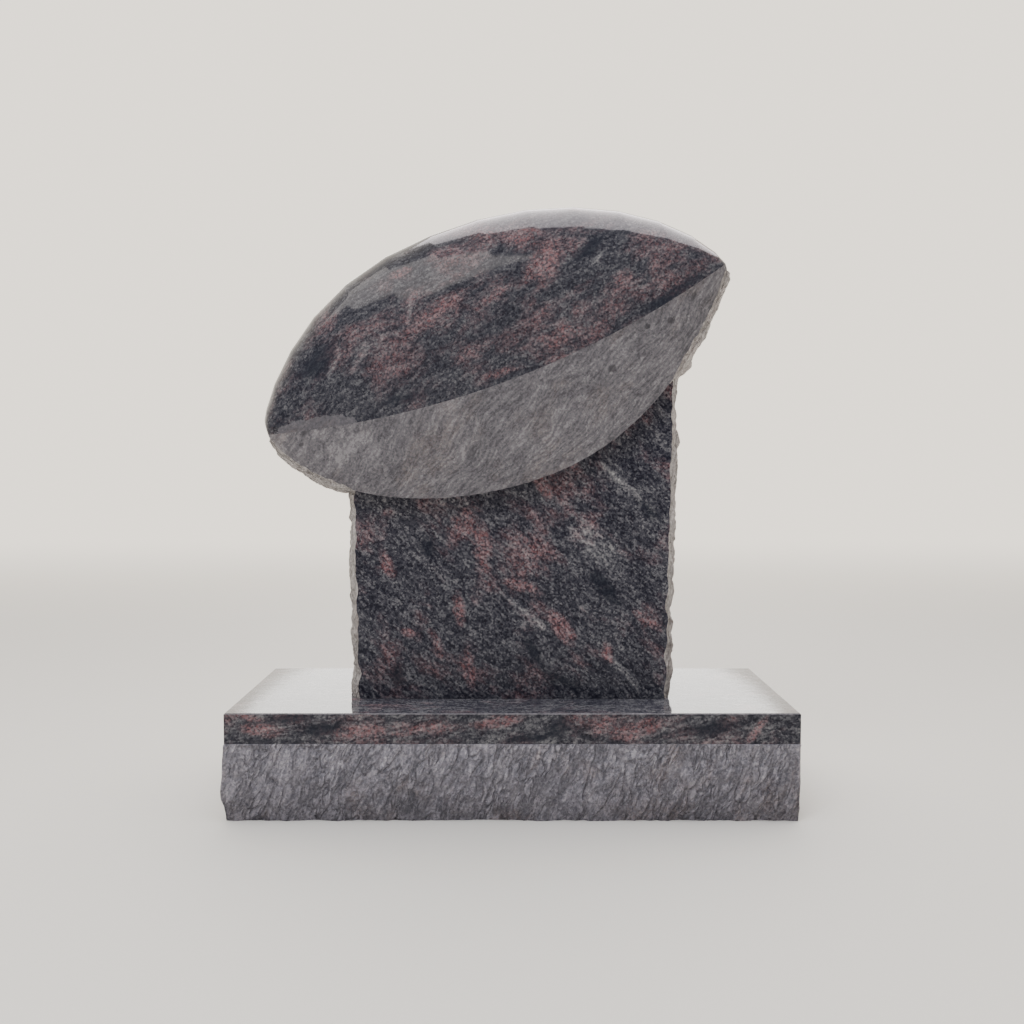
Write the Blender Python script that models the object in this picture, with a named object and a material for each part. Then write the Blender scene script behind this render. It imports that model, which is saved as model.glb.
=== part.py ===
"""Rugby ball headstone in granite.

A tablet with rock-pitched sides carries a large oval ball that leans up to the right. Ball and
tablet are carved from one slab, so they are one solid. The slab stands on a base stone whose
polished top and margin sit above a rock-pitched band.

The frame is the base stone's: the origin is the centre of its underside, +Z is up and the
carved front looks along -Y. All sizes are in metres.
"""

import math

import bmesh
import bpy
from mathutils import Vector, noise

# Base stone
BASE_WIDTH = 0.762
BASE_DEPTH = 0.305
BASE_HEIGHT = 0.144
MARGIN_HEIGHT = 0.041
BASE_ARRIS = 0.0015
BAND_SHOULDER = 0.0015
BAND_BELLY = 0.0034
BAND_FOOT = -0.0015
BAND_BELLY_SHARE = 0.36
BAND_RIGHT_SETBACK = 0.0030
BAND_RELIEF = 0.0026
BAND_LIMIT = 0.0055
BAND_ROWS = 7
BASE_STEP = 0.0195

# Edges sharper than this are left crisp, rounder ones are shaded smooth
SHARP_ANGLE = math.radians(14)

# Slab that ball and tablet are carved from, measured from its middle plane
TABLET_THICKNESS = 0.132
TABLET_WIDTH_FOOT = 0.431
TABLET_WIDTH_HEAD = 0.446
TABLET_WIDTH_HEIGHT = 0.443
BEDDING_GAP = 0.0003

# Rock-pitched edge that runs round the tablet and under the ball
TABLET_EDGE_BULGE = 0.011
BALL_EDGE_BULGE = 0.011
EDGE_SQUARENESS = 4
EDGE_RELIEF = 0.0042
EDGE_STEP = 0.015
EDGE_COLUMNS = 8
EDGE_FADE = 0.020
LUMP_SIZE = 0.040
SCALLOP_SIZE = 0.034
ARRIS_CHIP = 0.0035
ARRIS_CHIP_LENGTH = 0.024

# Ball, in its own plane: its length runs along u, its height along v
BALL_REACH = 0.3312
BALL_RISE = 0.1725
BALL_DROP = 0.1952
BALL_TILT = math.radians(19.2)
BALL_CENTRE_X = -0.0256
BALL_CENTRE_HEIGHT = 0.4934
BALL_FACETS = 15
STATIONS_PER_FACET = 3
SLOPE_STEP = 0.004

# Ball, front to back
RIM_PROUD = 0.022
SEAM_PROUD = 0.045
CROWN_SETBACK = 0.021
CROWN_FALL = 0.018
LOWER_PANEL_BOW = 0.003
UPPER_PANEL_SQUARENESS = 2.1
SEAM_DROP = 0.0585
SEAM_DROP_LEFT_TIP = 0.0175
SEAM_DROP_RIGHT_TIP = 0.0041
SEAM_CLEARANCE = 0.0020
LOWER_PANEL_STEPS = 4
UPPER_PANEL_STEPS = 9
CROWN_STEPS = 4

SLAB_FRONT = -TABLET_THICKNESS / 2
SLAB_BACK = TABLET_THICKNESS / 2
RIM_Y = SLAB_FRONT - RIM_PROUD
CROWN_Y = SLAB_FRONT + CROWN_SETBACK


class Curve:
    """One quarter of the ball's outline: a flattened ellipse that would run on past the tip."""

    def __init__(self, height, past_tip, along, across):
        self.height = height
        self.half_length = BALL_REACH + past_tip
        self.along = along
        self.across = across

    def at(self, u):
        share = min(abs(u) / self.half_length, 1.0)
        return self.height * (1.0 - share ** self.along) ** (1.0 / self.across)


TOP_LEFT = Curve(BALL_RISE, 0.0030, 2.431, 1.246)
TOP_RIGHT = Curve(BALL_RISE, 0.0001, 2.033, 1.518)
BOTTOM_LEFT = Curve(BALL_DROP, 0.0030, 1.945, 1.874)
BOTTOM_RIGHT = Curve(BALL_DROP, 0.0077, 2.103, 1.118)


def clear_scene():
    """Remove every object of the start-up scene."""
    for item in list(bpy.data.objects):
        bpy.data.objects.remove(item, do_unlink=True)


def stone(name, colour, roughness):
    """A granite finish for one object."""
    material = bpy.data.materials.new(name)
    material.use_nodes = True
    shader = material.node_tree.nodes["Principled BSDF"]
    shader.inputs["Base Color"].default_value = (*colour, 1.0)
    shader.inputs["Roughness"].default_value = roughness
    shader.inputs["Metallic"].default_value = 0.0
    return material


def granite_noise(x, y, z, size):
    """Noise from -1 to 1 whose lumps are about as large as size."""
    return noise.noise(Vector((x / size, y / size, z / size)))


def pitched(x, y, z):
    """Hollows and lumps that a pitching chisel leaves, from about -1 to 1."""
    lumps = granite_noise(x, y, z, LUMP_SIZE)
    ridges = 1.0 - 2.0 * abs(granite_noise(x + LUMP_SIZE, y, z, SCALLOP_SIZE))
    return 0.9 * lumps + 0.8 * ridges - 0.44


def ring_mesh(name, rings, material):
    """A closed body through rings of points, with a fan of faces over each end."""
    count = len(rings[0])
    shape = bmesh.new()
    levels = [[shape.verts.new(point) for point in ring] for ring in rings]
    for lower, upper in zip(levels, levels[1:]):
        for i in range(count):
            j = (i + 1) % count
            shape.faces.new((lower[i], lower[j], upper[j], upper[i]))
    for level, flip in ((levels[0], True), (levels[-1], False)):
        middle = shape.verts.new(sum((vert.co for vert in level), Vector()) / count)
        for i in range(count):
            j = (i + 1) % count
            corners = (level[j], level[i]) if flip else (level[i], level[j])
            shape.faces.new((*corners, middle))
    bmesh.ops.triangulate(shape, faces=shape.faces[:])
    bmesh.ops.recalc_face_normals(shape, faces=shape.faces[:])
    mesh = bpy.data.meshes.new(name)
    shape.to_mesh(mesh)
    shape.free()
    mesh.shade_smooth()
    mesh.set_sharp_from_angle(angle=SHARP_ANGLE)
    mesh.materials.append(material)
    item = bpy.data.objects.new(name, mesh)
    bpy.context.scene.collection.objects.link(item)
    return item


def outline_top(u):
    """Height of the ball's upper edge over its axis, in flat chords as it was sawn."""
    turn = math.acos(max(-1.0, min(1.0, -u / BALL_REACH))) * BALL_FACETS / math.pi
    facet = min(int(turn), BALL_FACETS - 1)
    start, end = (-BALL_REACH * math.cos(math.pi * (facet + step) / BALL_FACETS) for step in (0, 1))
    low, high = ((TOP_LEFT if corner < 0 else TOP_RIGHT).at(corner) for corner in (start, end))
    return low + (u - start) / (end - start) * (high - low)


def outline_bottom(u):
    """Depth of the ball's lower edge under its axis."""
    return (BOTTOM_LEFT if u < 0 else BOTTOM_RIGHT).at(u)


def way_out(u):
    """Direction square to the ball's lower edge, as its parts along u and v."""
    near = max(-BALL_REACH, u - SLOPE_STEP)
    far = min(BALL_REACH, u + SLOPE_STEP)
    slope = (outline_bottom(near) - outline_bottom(far)) / (far - near)
    length = math.hypot(slope, 1.0)
    return slope / length, -1.0 / length


def seam_height(u):
    """Height of the seam between the polished and the honed panel; it sags under the axis."""
    share = u / BALL_REACH
    tips = (SEAM_DROP_LEFT_TIP + SEAM_DROP_RIGHT_TIP) / 2
    skew = (SEAM_DROP_LEFT_TIP - SEAM_DROP_RIGHT_TIP) / 2
    return -tips - (SEAM_DROP - tips) * (1.0 - share * share) + skew * share


def fullness(u):
    """1 at the ball's middle, falling like an ellipse to 0 at its tips."""
    return math.sqrt(max(0.0, 1.0 - (u / BALL_REACH) ** 2))


def ball_to_world(u, y, v):
    """A point of the ball's own plane in the headstone's frame."""
    x = BALL_CENTRE_X + u * math.cos(BALL_TILT) - v * math.sin(BALL_TILT)
    z = BASE_HEIGHT + BALL_CENTRE_HEIGHT + u * math.sin(BALL_TILT) + v * math.cos(BALL_TILT)
    return Vector((x, y, z))


def edge_shares():
    """Where the rows of points lie between a rock-pitched edge's two arrises, closest near them."""
    return [(1.0 - math.cos(math.pi * k / EDGE_COLUMNS)) / 2 for k in range(EDGE_COLUMNS + 1)]


def edge_shape(share):
    """How far a rock-pitched edge stands out: 0 at both arrises, 1 half way between them."""
    return 1.0 - abs(2.0 * share - 1.0) ** EDGE_SQUARENESS


def beside_tablet(x):
    """1 where the ball stands out past the tablet's sides, 0 where the tablet carries it."""
    rise = (abs(x) - TABLET_WIDTH_HEAD / 2) / EDGE_FADE + 0.5
    return max(0.0, min(1.0, rise))


def arris_chip(x, z, side):
    """How far the chisel has bitten into a front or back arris."""
    bite = granite_noise(x, side, z, ARRIS_CHIP_LENGTH)
    return ARRIS_CHIP * max(0.0, 0.35 + 1.5 * bite)


def ball_section(u):
    """Points round the ball at one station: lower panel, upper panel, crown, back, underside."""
    top = outline_top(u)
    bottom = -outline_bottom(u)
    full = fullness(u)
    seam_y = RIM_Y - SEAM_PROUD * full
    seam_v = min(max(seam_height(u), bottom + SEAM_CLEARANCE), top - SEAM_CLEARANCE)
    crown_y = CROWN_Y + (RIM_Y - CROWN_Y) * 0.5 * (1.0 - full)
    points = []
    for k in range(LOWER_PANEL_STEPS):
        share = k / LOWER_PANEL_STEPS
        bow = LOWER_PANEL_BOW * full * math.sin(math.pi * share)
        y = RIM_Y + share * (seam_y - RIM_Y) - bow
        points.append(ball_to_world(u, y, bottom + share * (seam_v - bottom)))
    for k in range(UPPER_PANEL_STEPS):
        turn = math.pi / 2 * k / UPPER_PANEL_STEPS
        back = math.cos(turn) ** (2.0 / UPPER_PANEL_SQUARENESS)
        up = math.sin(turn) ** (2.0 / UPPER_PANEL_SQUARENESS)
        y = crown_y + (seam_y - crown_y) * back
        points.append(ball_to_world(u, y, seam_v + (top - seam_v) * up))
    for k in range(CROWN_STEPS + 1):
        share = k / CROWN_STEPS
        fall = CROWN_FALL * full * share * share
        points.append(ball_to_world(u, crown_y + share * (SLAB_BACK - crown_y), top - fall))
    points.append(ball_to_world(u, SLAB_BACK, bottom))
    out_u, out_v = way_out(u)
    for share in edge_shares()[1:-1]:
        y = SLAB_BACK + share * (RIM_Y - SLAB_BACK)
        spot = ball_to_world(u, y, bottom)
        rough = BALL_EDGE_BULGE * edge_shape(share) + EDGE_RELIEF * pitched(*spot)
        out = rough * beside_tablet(spot.x)
        points.append(ball_to_world(u + out * out_u, y, bottom + out * out_v))
    return points


def make_ball(material):
    """The ball as sections along its length, closed by blunt tips."""
    count = BALL_FACETS * STATIONS_PER_FACET
    rings = [ball_section(-BALL_REACH * math.cos(math.pi * i / count)) for i in range(count + 1)]
    return ring_mesh("headstone", rings, material)


def make_tablet(material):
    """The tablet as level rings that end slantwise inside the ball."""
    foot = BASE_HEIGHT + BEDDING_GAP
    rows = round(BALL_CENTRE_HEIGHT / EDGE_STEP)
    rings = []
    ball_centre = ball_to_world(0.0, 0.0, 0.0)
    for row in range(rows + 1):
        ring = []
        for side in (1, -1):
            along = side * TABLET_WIDTH_HEAD / 2 - ball_centre.x
            end = ball_centre.z + along * math.tan(BALL_TILT)
            z = foot + row / rows * (end - foot)
            widening = min(1.0, (z - foot) / TABLET_WIDTH_HEIGHT)
            half = (TABLET_WIDTH_FOOT + widening * (TABLET_WIDTH_HEAD - TABLET_WIDTH_FOOT)) / 2
            points = []
            for share in edge_shares():
                y = SLAB_FRONT + share * (SLAB_BACK - SLAB_FRONT)
                x = side * half
                out = TABLET_EDGE_BULGE * edge_shape(share) + EDGE_RELIEF * pitched(x, y, z)
                if share in (0.0, 1.0):
                    out = -arris_chip(x, z, share)
                points.append(Vector((x + side * out, y, z)))
            ring.extend(points if side > 0 else points[::-1])
        rings.append(ring)
    return ring_mesh("tablet_form", rings, material)


def make_headstone(material):
    """Ball and tablet as one carved slab."""
    ball = make_ball(material)
    tablet = make_tablet(material)
    tablet.hide_render = True
    tablet.display_type = "WIRE"
    union = ball.modifiers.new("tablet", "BOOLEAN")
    union.operation = "UNION"
    union.solver = "EXACT"
    union.object = tablet
    return ball


def band_profile(share):
    """How proud the rock-pitched band stands at a share of its height."""
    if share < BAND_BELLY_SHARE:
        rise = share / BAND_BELLY_SHARE
        low = BAND_FOOT
    else:
        rise = (1.0 - share) / (1.0 - BAND_BELLY_SHARE)
        low = BAND_SHOULDER
    return low + (BAND_BELLY - low) * math.sin(math.pi / 2 * rise)


def base_walk():
    """Points round the base in plan, each with the direction that leads out of the stone."""
    half_x, half_y = BASE_WIDTH / 2, BASE_DEPTH / 2
    corners = [(-1, -1), (1, -1), (1, 1), (-1, 1)]
    walk = []
    for i, (ax, ay) in enumerate(corners):
        bx, by = corners[(i + 1) % 4]
        length = BASE_WIDTH if ay == by else BASE_DEPTH
        steps = round(length / BASE_STEP)
        walk.append((ax * half_x, ay * half_y, ax, ay))
        for k in range(1, steps):
            share = k / steps
            out_x = ax if ax == bx else 0
            out_y = ay if ay == by else 0
            x = (ax + (bx - ax) * share) * half_x
            y = (ay + (by - ay) * share) * half_y
            walk.append((x, y, out_x, out_y))
    return walk


def make_base(material):
    """The base stone, from the foot of its band up to its polished top."""
    band = BASE_HEIGHT - MARGIN_HEIGHT
    walk = base_walk()
    rings = []
    for row in range(BAND_ROWS + 1):
        share = row / BAND_ROWS
        z = share * (band - BAND_SHOULDER)
        ring = []
        for x, y, out_x, out_y in walk:
            proud = band_profile(share) + BAND_RELIEF * pitched(x, y, z)
            if out_x > 0:
                proud -= BAND_RIGHT_SETBACK
            if row == BAND_ROWS:
                proud = max(proud, BAND_SHOULDER / 2)
            proud = min(proud, BAND_LIMIT)
            ring.append(Vector((x + proud * out_x, y + proud * out_y, z)))
        rings.append(ring)
    for inset, z in ((0.0, band), (0.0, BASE_HEIGHT - BASE_ARRIS), (BASE_ARRIS, BASE_HEIGHT)):
        rings.append([Vector((x - inset * ox, y - inset * oy, z)) for x, y, ox, oy in walk])
    return ring_mesh("base", rings, material)


def build():
    """Build both stones."""
    clear_scene()
    make_headstone(stone("polished_granite", (0.070, 0.066, 0.072), 0.12))
    make_base(stone("base_granite", (0.130, 0.122, 0.130), 0.45))


build()
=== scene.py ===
"""Rugby ball headstone: the finished granite and a plain studio around it.

The headstone is one carved slab: a rugby ball with a polished upper panel and a honed lower
panel leans on a tablet with rock-pitched sides. It stands on a base stone with a polished top and
margin over a rock-pitched band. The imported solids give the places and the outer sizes; the meshes
made here have the same form with the chisel's marks added, and stand in for them.

Sizes are in metres, +Z is up and the carved front looks along -Y.
"""

from __future__ import annotations

import logging
import math
from dataclasses import dataclass, field
from enum import Enum, IntEnum
from typing import ClassVar, Sequence

import bmesh
import bpy
import numpy as np
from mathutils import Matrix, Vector, noise


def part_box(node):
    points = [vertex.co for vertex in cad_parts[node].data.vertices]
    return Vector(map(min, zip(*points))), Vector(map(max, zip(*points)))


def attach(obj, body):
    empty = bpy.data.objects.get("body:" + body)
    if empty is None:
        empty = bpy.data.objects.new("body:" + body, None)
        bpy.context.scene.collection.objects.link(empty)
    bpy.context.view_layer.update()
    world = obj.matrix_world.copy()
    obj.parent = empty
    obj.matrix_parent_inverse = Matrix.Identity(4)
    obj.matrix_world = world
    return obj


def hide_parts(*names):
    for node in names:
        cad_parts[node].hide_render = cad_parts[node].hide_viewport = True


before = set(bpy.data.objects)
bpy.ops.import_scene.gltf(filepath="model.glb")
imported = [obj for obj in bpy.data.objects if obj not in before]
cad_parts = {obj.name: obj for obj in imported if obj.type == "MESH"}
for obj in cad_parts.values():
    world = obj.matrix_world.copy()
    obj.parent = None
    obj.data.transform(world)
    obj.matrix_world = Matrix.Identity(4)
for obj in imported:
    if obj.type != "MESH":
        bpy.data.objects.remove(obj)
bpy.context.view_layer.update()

NOISE_SEED = 7
LOG = logging.getLogger("headstone")

Point = tuple[float, float, float]
Colour = tuple[float, float, float]
Socket = bpy.types.NodeSocket
Surface = tuple[Socket, Socket, Socket, float]

# Colours that the finishes mix in, and the tone that their contrast turns about.
WHITE: Colour = (1.0, 1.0, 1.0)
GARNET: Colour = (0.200, 0.058, 0.064)
POLISHED_GLOOM: Colour = (0.010, 0.013, 0.023)
HONED_GLOOM: Colour = (0.020, 0.020, 0.028)
BROKEN_GLOOM: Colour = (0.060, 0.058, 0.066)
# Painted shade that darkens the rock-pitched band towards the ground, and painted light that makes it
# paler higher up.
FOOT_SHADE: Colour = (0.74, 0.73, 0.73)
BAND_TOP_LIGHT: Colour = (1.08, 1.08, 1.08)
MIDDLE_TONE = 0.47


class Finish(Enum):
    """How a face of the stone is worked."""

    POLISHED = "polished"
    HONED = "honed"
    PITCHED = "pitched"


class SlabFace(IntEnum):
    """The faces of the carved slab, in the order of its material slots."""

    BALL_POLISHED = 0
    BALL_HONED = 1
    TABLET_FRONT = 2
    EDGE = 3
    BACK = 4


class BaseFace(IntEnum):
    """The faces of the base stone, in the order of its material slots."""

    BAND = 0
    MARGIN = 1
    ARRIS = 2
    TOP = 3


def smoothstep(low: float, high: float, value: float) -> float:
    """Rise smoothly from 0 at low to 1 at high."""
    share = max(0.0, min(1.0, (value - low) / (high - low)))
    return share * share * (3.0 - 2.0 * share)


@dataclass(frozen=True)
class Chisel:
    """The surface that a pitching chisel leaves: broad lumps, flat chips and small bulges."""

    relief: float = 0.0042
    lump_size: float = 0.040
    scallop_size: float = 0.034
    chip_size: float = 0.014
    chip_depth: float = 0.0020
    bulge_size: float = 0.0160
    bulge_depth: float = 0.0058
    flake_size: float = 0.0065
    flake_depth: float = 0.0018
    upright: float = 1.7
    bend_size: float = 0.019

    def lumps(self, x: float, y: float, z: float) -> float:
        """Height of the broad lumps, as a share of the relief, the same as on the solid.

        Args:
            x, y, z: The point on the unworked edge.

        Returns:
            A share from about -1 to 1.
        """
        size = self.lump_size
        lump = noise.noise(Vector((x / size, y / size, z / size)))
        size = self.scallop_size
        ridge = 1.0 - 2.0 * abs(noise.noise(Vector(((x + self.lump_size) / size, y / size, z / size))))
        return 0.9 * lump + 0.8 * ridge - 0.44

    def chips(self, x: float, y: float, z: float) -> float:
        """Height of the flat chips and of the round bulges between sharp creases, in metres.

        Args:
            x, y, z: The point on the unworked edge.

        Returns:
            The height to add to the broad lumps.
        """
        bend = noise.noise_vector(Vector((x, y, z)) / self.bend_size) * 0.22
        spot = Vector((x, y, z / self.upright)) / self.chip_size + bend
        near, centres = noise.voronoi(spot)
        slope = noise.cell_vector(centres[0] * 7.3) - Vector((0.5, 0.5, 0.5))
        tilt = (spot - centres[0]).dot(slope) * 1.5 + (noise.cell(centres[0] * 5.1) - 0.5) * 0.6
        crack = min(1.0, (near[1] - near[0]) / 0.16) - 1.0
        height = self.chip_depth * (tilt + 0.35 * crack)
        for size, depth in ((self.bulge_size, self.bulge_depth), (self.flake_size, self.flake_depth)):
            bulge = Vector((x, y, z / self.upright)) / size + bend * 2.0
            height += depth * (abs(noise.noise(bulge)) - 0.2)
        return height


@dataclass(frozen=True)
class Quarter:
    """One quarter of the ball's outline: a flattened ellipse that would run on past the tip."""

    height: float
    half_length: float
    along: float
    across: float

    def at(self, u: float) -> float:
        """Height of the outline over the ball's axis at a distance u along it."""
        share = min(abs(u) / self.half_length, 1.0)
        return self.height * (1.0 - share ** self.along) ** (1.0 / self.across)


@dataclass
class Loft:
    """A closed body through rings of points.

    Attributes:
        name: Name of the object.
        rings: Rings of points, all of one length.
        columns: Material slot of the faces that start at each point of a ring.
        ends: Material slots of the faces that close the first and the last ring.
    """

    name: str
    rings: list[list[Point]]
    columns: Sequence[int]
    ends: tuple[int, int]

    def build(self) -> bpy.types.Object:
        """Make the object, with its faces turned out of the body.

        Returns:
            The object, in the scene.
        """
        rings = np.array(self.rings)
        levels, count = rings.shape[:2]
        points = rings.reshape(-1, 3).tolist()
        faces = [
            (row * count + i, row * count + (i + 1) % count,
             (row + 1) * count + (i + 1) % count, (row + 1) * count + i)
            for row in range(levels - 1) for i in range(count)
        ]
        slots = [int(slot) for slot in self.columns] * (levels - 1)
        for row, slot in zip((0, levels - 1), self.ends):
            points.append(rings[row].mean(axis=0).tolist())
            faces += [(row * count + i, row * count + (i + 1) % count, len(points) - 1)
                      for i in range(count)]
            slots += [int(slot)] * count
        mesh = bpy.data.meshes.new(self.name)
        mesh.from_pydata(points, [], faces)
        mesh.polygons.foreach_set("material_index", slots)
        shape = bmesh.new()
        shape.from_mesh(mesh)
        bmesh.ops.recalc_face_normals(shape, faces=shape.faces[:])
        shape.to_mesh(mesh)
        shape.free()
        return add_object(self.name, mesh)


def add_object(name: str, data: bpy.types.ID) -> bpy.types.Object:
    """Put something into the scene.

    Args:
        name: Name of the object.
        data: Its mesh, light or camera.

    Returns:
        The object.
    """
    item = bpy.data.objects.new(name, data)
    bpy.context.scene.collection.objects.link(item)
    return item


def soften(item: bpy.types.Object, crisp: float) -> None:
    """Shade an object smooth, but keep the arrises between two finishes and sharp edges crisp.

    Args:
        item: The object to shade.
        crisp: Angle in radians from which an edge inside one finish stays crisp.
    """
    shape = bmesh.new()
    shape.from_mesh(item.data)
    for face in shape.faces:
        face.smooth = True
    for edge in shape.edges:
        if len(edge.link_faces) == 2:
            left, right = edge.link_faces
            edge.smooth = left.material_index == right.material_index and (
                edge.calc_face_angle(0.0) < crisp)
    shape.to_mesh(item.data)
    shape.free()


def merge_flat(item: bpy.types.Object, slot: int) -> None:
    """Merge the slivers that a union leaves on a flat face into few triangles.

    Args:
        item: The object.
        slot: Material slot of the flat face.
    """
    shape = bmesh.new()
    shape.from_mesh(item.data)
    flat = [face for face in shape.faces if face.material_index == slot]
    whole = bmesh.ops.dissolve_faces(shape, faces=flat, use_verts=True)["region"]
    bmesh.ops.triangulate(shape, faces=whole)
    shape.to_mesh(item.data)
    shape.free()


def keep_inside(item: bpy.types.Object, node: str) -> None:
    """Hold every point of a piece inside the box of the solid that it stands for.

    Args:
        item: The piece.
        node: Name of the solid.
    """
    low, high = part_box(node)
    count = len(item.data.vertices)
    places = np.empty(count * 3)
    item.data.vertices.foreach_get("co", places)
    places = np.clip(places.reshape(count, 3), np.array(low), np.array(high))
    item.data.vertices.foreach_set("co", places.ravel())
    item.data.update()


@dataclass
class Graph:
    """A short way to write the nodes of one material."""

    tree: bpy.types.NodeTree

    def node(self, kind: str, inputs: dict[str | int, object] | None = None,
             **settings: object) -> bpy.types.Node:
        """Add a node.

        Args:
            kind: Blender's name of the node type.
            inputs: Values or sockets for its inputs, by input name or number.
            settings: Properties of the node.

        Returns:
            The new node.
        """
        node = self.tree.nodes.new(kind)
        for name, value in settings.items():
            setattr(node, name, value)
        for name, value in (inputs or {}).items():
            if isinstance(value, bpy.types.NodeSocket):
                self.tree.links.new(value, node.inputs[name])
            else:
                node.inputs[name].default_value = value
        return node

    def here(self) -> Socket:
        """The point that is shaded, in metres."""
        return self.node("ShaderNodeTexCoord").outputs["Object"]

    def along(self, axis: str) -> Socket:
        """One coordinate of the point that is shaded."""
        return self.node("ShaderNodeSeparateXYZ", {0: self.here()}).outputs[axis]

    def place(self, turn: Point, stretch: Point, shift: Point = (0.0, 0.0, 0.0)) -> Socket:
        """The point on the stone, turned and stretched for one layer of its pattern.

        Args:
            turn: Angles in radians that it is turned by.
            stretch: Factors along the turned axes.
            shift: Offset in the block.

        Returns:
            The point.
        """
        turned = self.node("ShaderNodeMapping", {"Vector": self.here(), "Rotation": turn,
                                                 "Location": shift})
        return self.stretch(turned.outputs[0], stretch)

    def stretch(self, vector: Socket, factors: Point) -> Socket:
        """A point scaled by a factor along each axis."""
        return self.node("ShaderNodeMapping", {"Vector": vector, "Scale": factors}).outputs[0]

    def noise(self, vector: Socket, size: float, detail: float = 3.0, rough: float = 0.55) -> Socket:
        """Cloudy noise from 0 to 1 whose clouds are about as large as size."""
        node = self.node("ShaderNodeTexNoise", {"Vector": vector, "Scale": 1.0 / size,
                                                "Detail": detail, "Roughness": rough})
        return node.outputs["Fac"]

    def warp(self, vector: Socket, size: float, reach: float) -> Socket:
        """The point pushed about by noise, so that what is drawn there swirls.

        Args:
            vector: The point.
            size: Size of the swirls.
            reach: How far the point is pushed.

        Returns:
            The pushed point.
        """
        node = self.node("ShaderNodeTexNoise", {"Vector": vector, "Scale": 1.0 / size, "Detail": 2.0})
        middle = self.node("ShaderNodeVectorMath", {0: node.outputs["Color"], 1: (0.5, 0.5, 0.5)},
                           operation="SUBTRACT")
        push = self.node("ShaderNodeVectorMath", {0: middle.outputs[0], 3: reach}, operation="SCALE")
        return self.node("ShaderNodeVectorMath", {0: vector, 1: push.outputs[0]},
                         operation="ADD").outputs[0]

    def cells(self, vector: Socket, size: float) -> Socket:
        """A random value from 0 to 1 for each mineral grain."""
        node = self.node("ShaderNodeTexVoronoi", {"Vector": vector, "Scale": 1.0 / size})
        return self.node("ShaderNodeSeparateColor", {0: node.outputs["Color"]}).outputs[0]

    def math(self, operation: str, first: Socket | float, second: Socket | float = 0.0,
             clamp: bool = False) -> Socket:
        """One step of arithmetic."""
        return self.node("ShaderNodeMath", {0: first, 1: second}, operation=operation,
                         use_clamp=clamp).outputs[0]

    def apart(self, value: Socket, middle: float, factor: float) -> Socket:
        """How far a value stands from a middle one, times a factor."""
        return self.math("MULTIPLY", self.math("SUBTRACT", value, middle), factor)

    def span(self, value: Socket, low: float, high: float, bottom: float = 0.0,
             top: float = 1.0) -> Socket:
        """Value rising smoothly from bottom at low to top at high."""
        return self.node("ShaderNodeMapRange", {"Value": value, "From Min": low, "From Max": high,
                                                "To Min": bottom, "To Max": top},
                         interpolation_type="SMOOTHSTEP").outputs[0]

    def ramp(self, value: Socket, stops: Sequence[tuple[float, Colour]]) -> Socket:
        """A colour looked up along a row of stops.

        Args:
            value: Where to look.
            stops: Places from 0 to 1, each with its colour.

        Returns:
            The colour.
        """
        node = self.node("ShaderNodeValToRGB", {"Fac": value})
        elements = node.color_ramp.elements
        while len(elements) < len(stops):
            elements.new(0.5)
        for element, (place, colour) in zip(elements, stops):
            element.position = place
            element.color = (*colour, 1.0)
        return node.outputs["Color"]

    def mix(self, share: Socket | float, first: Socket | Colour, second: Socket | Colour,
            blend: str = "MIX") -> Socket:
        """Two colours mixed.

        Args:
            share: Share of the second colour.
            first, second: The colours.
            blend: Blender's name of the way that they are mixed.

        Returns:
            The mixed colour.
        """
        node = self.node("ShaderNodeMix", data_type="RGBA", blend_type=blend)
        for name, value in ((0, share), (6, first), (7, second)):
            if isinstance(value, bpy.types.NodeSocket):
                self.tree.links.new(value, node.inputs[name])
            else:
                node.inputs[name].default_value = value if name == 0 else (*value, 1.0)
        return node.outputs[2]

    def wire(self, colour: Socket, rough: Socket, height: Socket, depth: float,
             strength: float = 1.0) -> bpy.types.Node:
        """Feed the material's shader.

        Args:
            colour, rough, height: Its colour, its roughness and the height of its relief.
            depth: Depth of the relief in metres.
            strength: Share of the relief that shows.

        Returns:
            The shader.
        """
        shader = self.tree.nodes["Principled BSDF"]
        bump = self.node("ShaderNodeBump", {"Height": height, "Distance": depth, "Strength": strength})
        for socket, name in ((colour, "Base Color"), (rough, "Roughness"), (bump.outputs[0], "Normal")):
            self.tree.links.new(socket, shader.inputs[name])
        return shader


@dataclass(frozen=True)
class Patch:
    """A cloud of one mineral, or a worn spot, as seen from the front.

    Attributes:
        x, z: Its middle.
        length: Half its length.
        width: Half its width.
        turn: Angle in degrees from the level, up to the right, that its length runs along.
        strength: How strong it is at its middle.
        through: Half its length through the stone, far more than the stone is deep.
    """

    through: ClassVar[float] = 100.0
    x: float
    z: float
    length: float
    width: float
    turn: float = 0.0
    strength: float = 1.0

    def shown(self, graph: Graph) -> Socket:
        """Its strength at the point that is shaded, fading to 0 at its rim.

        Args:
            graph: The material's nodes.

        Returns:
            The strength.
        """
        local = graph.node("ShaderNodeMapping", {"Vector": graph.here(), "Location": (self.x, 0.0, self.z),
                                                 "Rotation": (0.0, -math.radians(self.turn), 0.0),
                                                 "Scale": (self.length, self.through, self.width)},
                           vector_type="TEXTURE")
        far = graph.node("ShaderNodeVectorMath", {0: local.outputs[0]}, operation="LENGTH")
        near = graph.math("SUBTRACT", 1.0, far.outputs["Value"], clamp=True)
        return graph.math("MULTIPLY", near, self.strength)


@dataclass(frozen=True)
class Palette:
    """Colours of the grains from the darkest to the palest.

    Attributes:
        grey: The dark and grey minerals.
        red: The feldspar where the stone is red.
    """

    grey: tuple[tuple[float, Colour], ...]
    red: tuple[tuple[float, Colour], ...]

    def lit(self, level: float) -> Palette:
        """The same colours, all darker or paler by one factor."""
        grey, red = (tuple((place, tuple(level * part for part in colour)) for place, colour in row)
                     for row in (self.grey, self.red))
        return Palette(grey, red)


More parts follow.
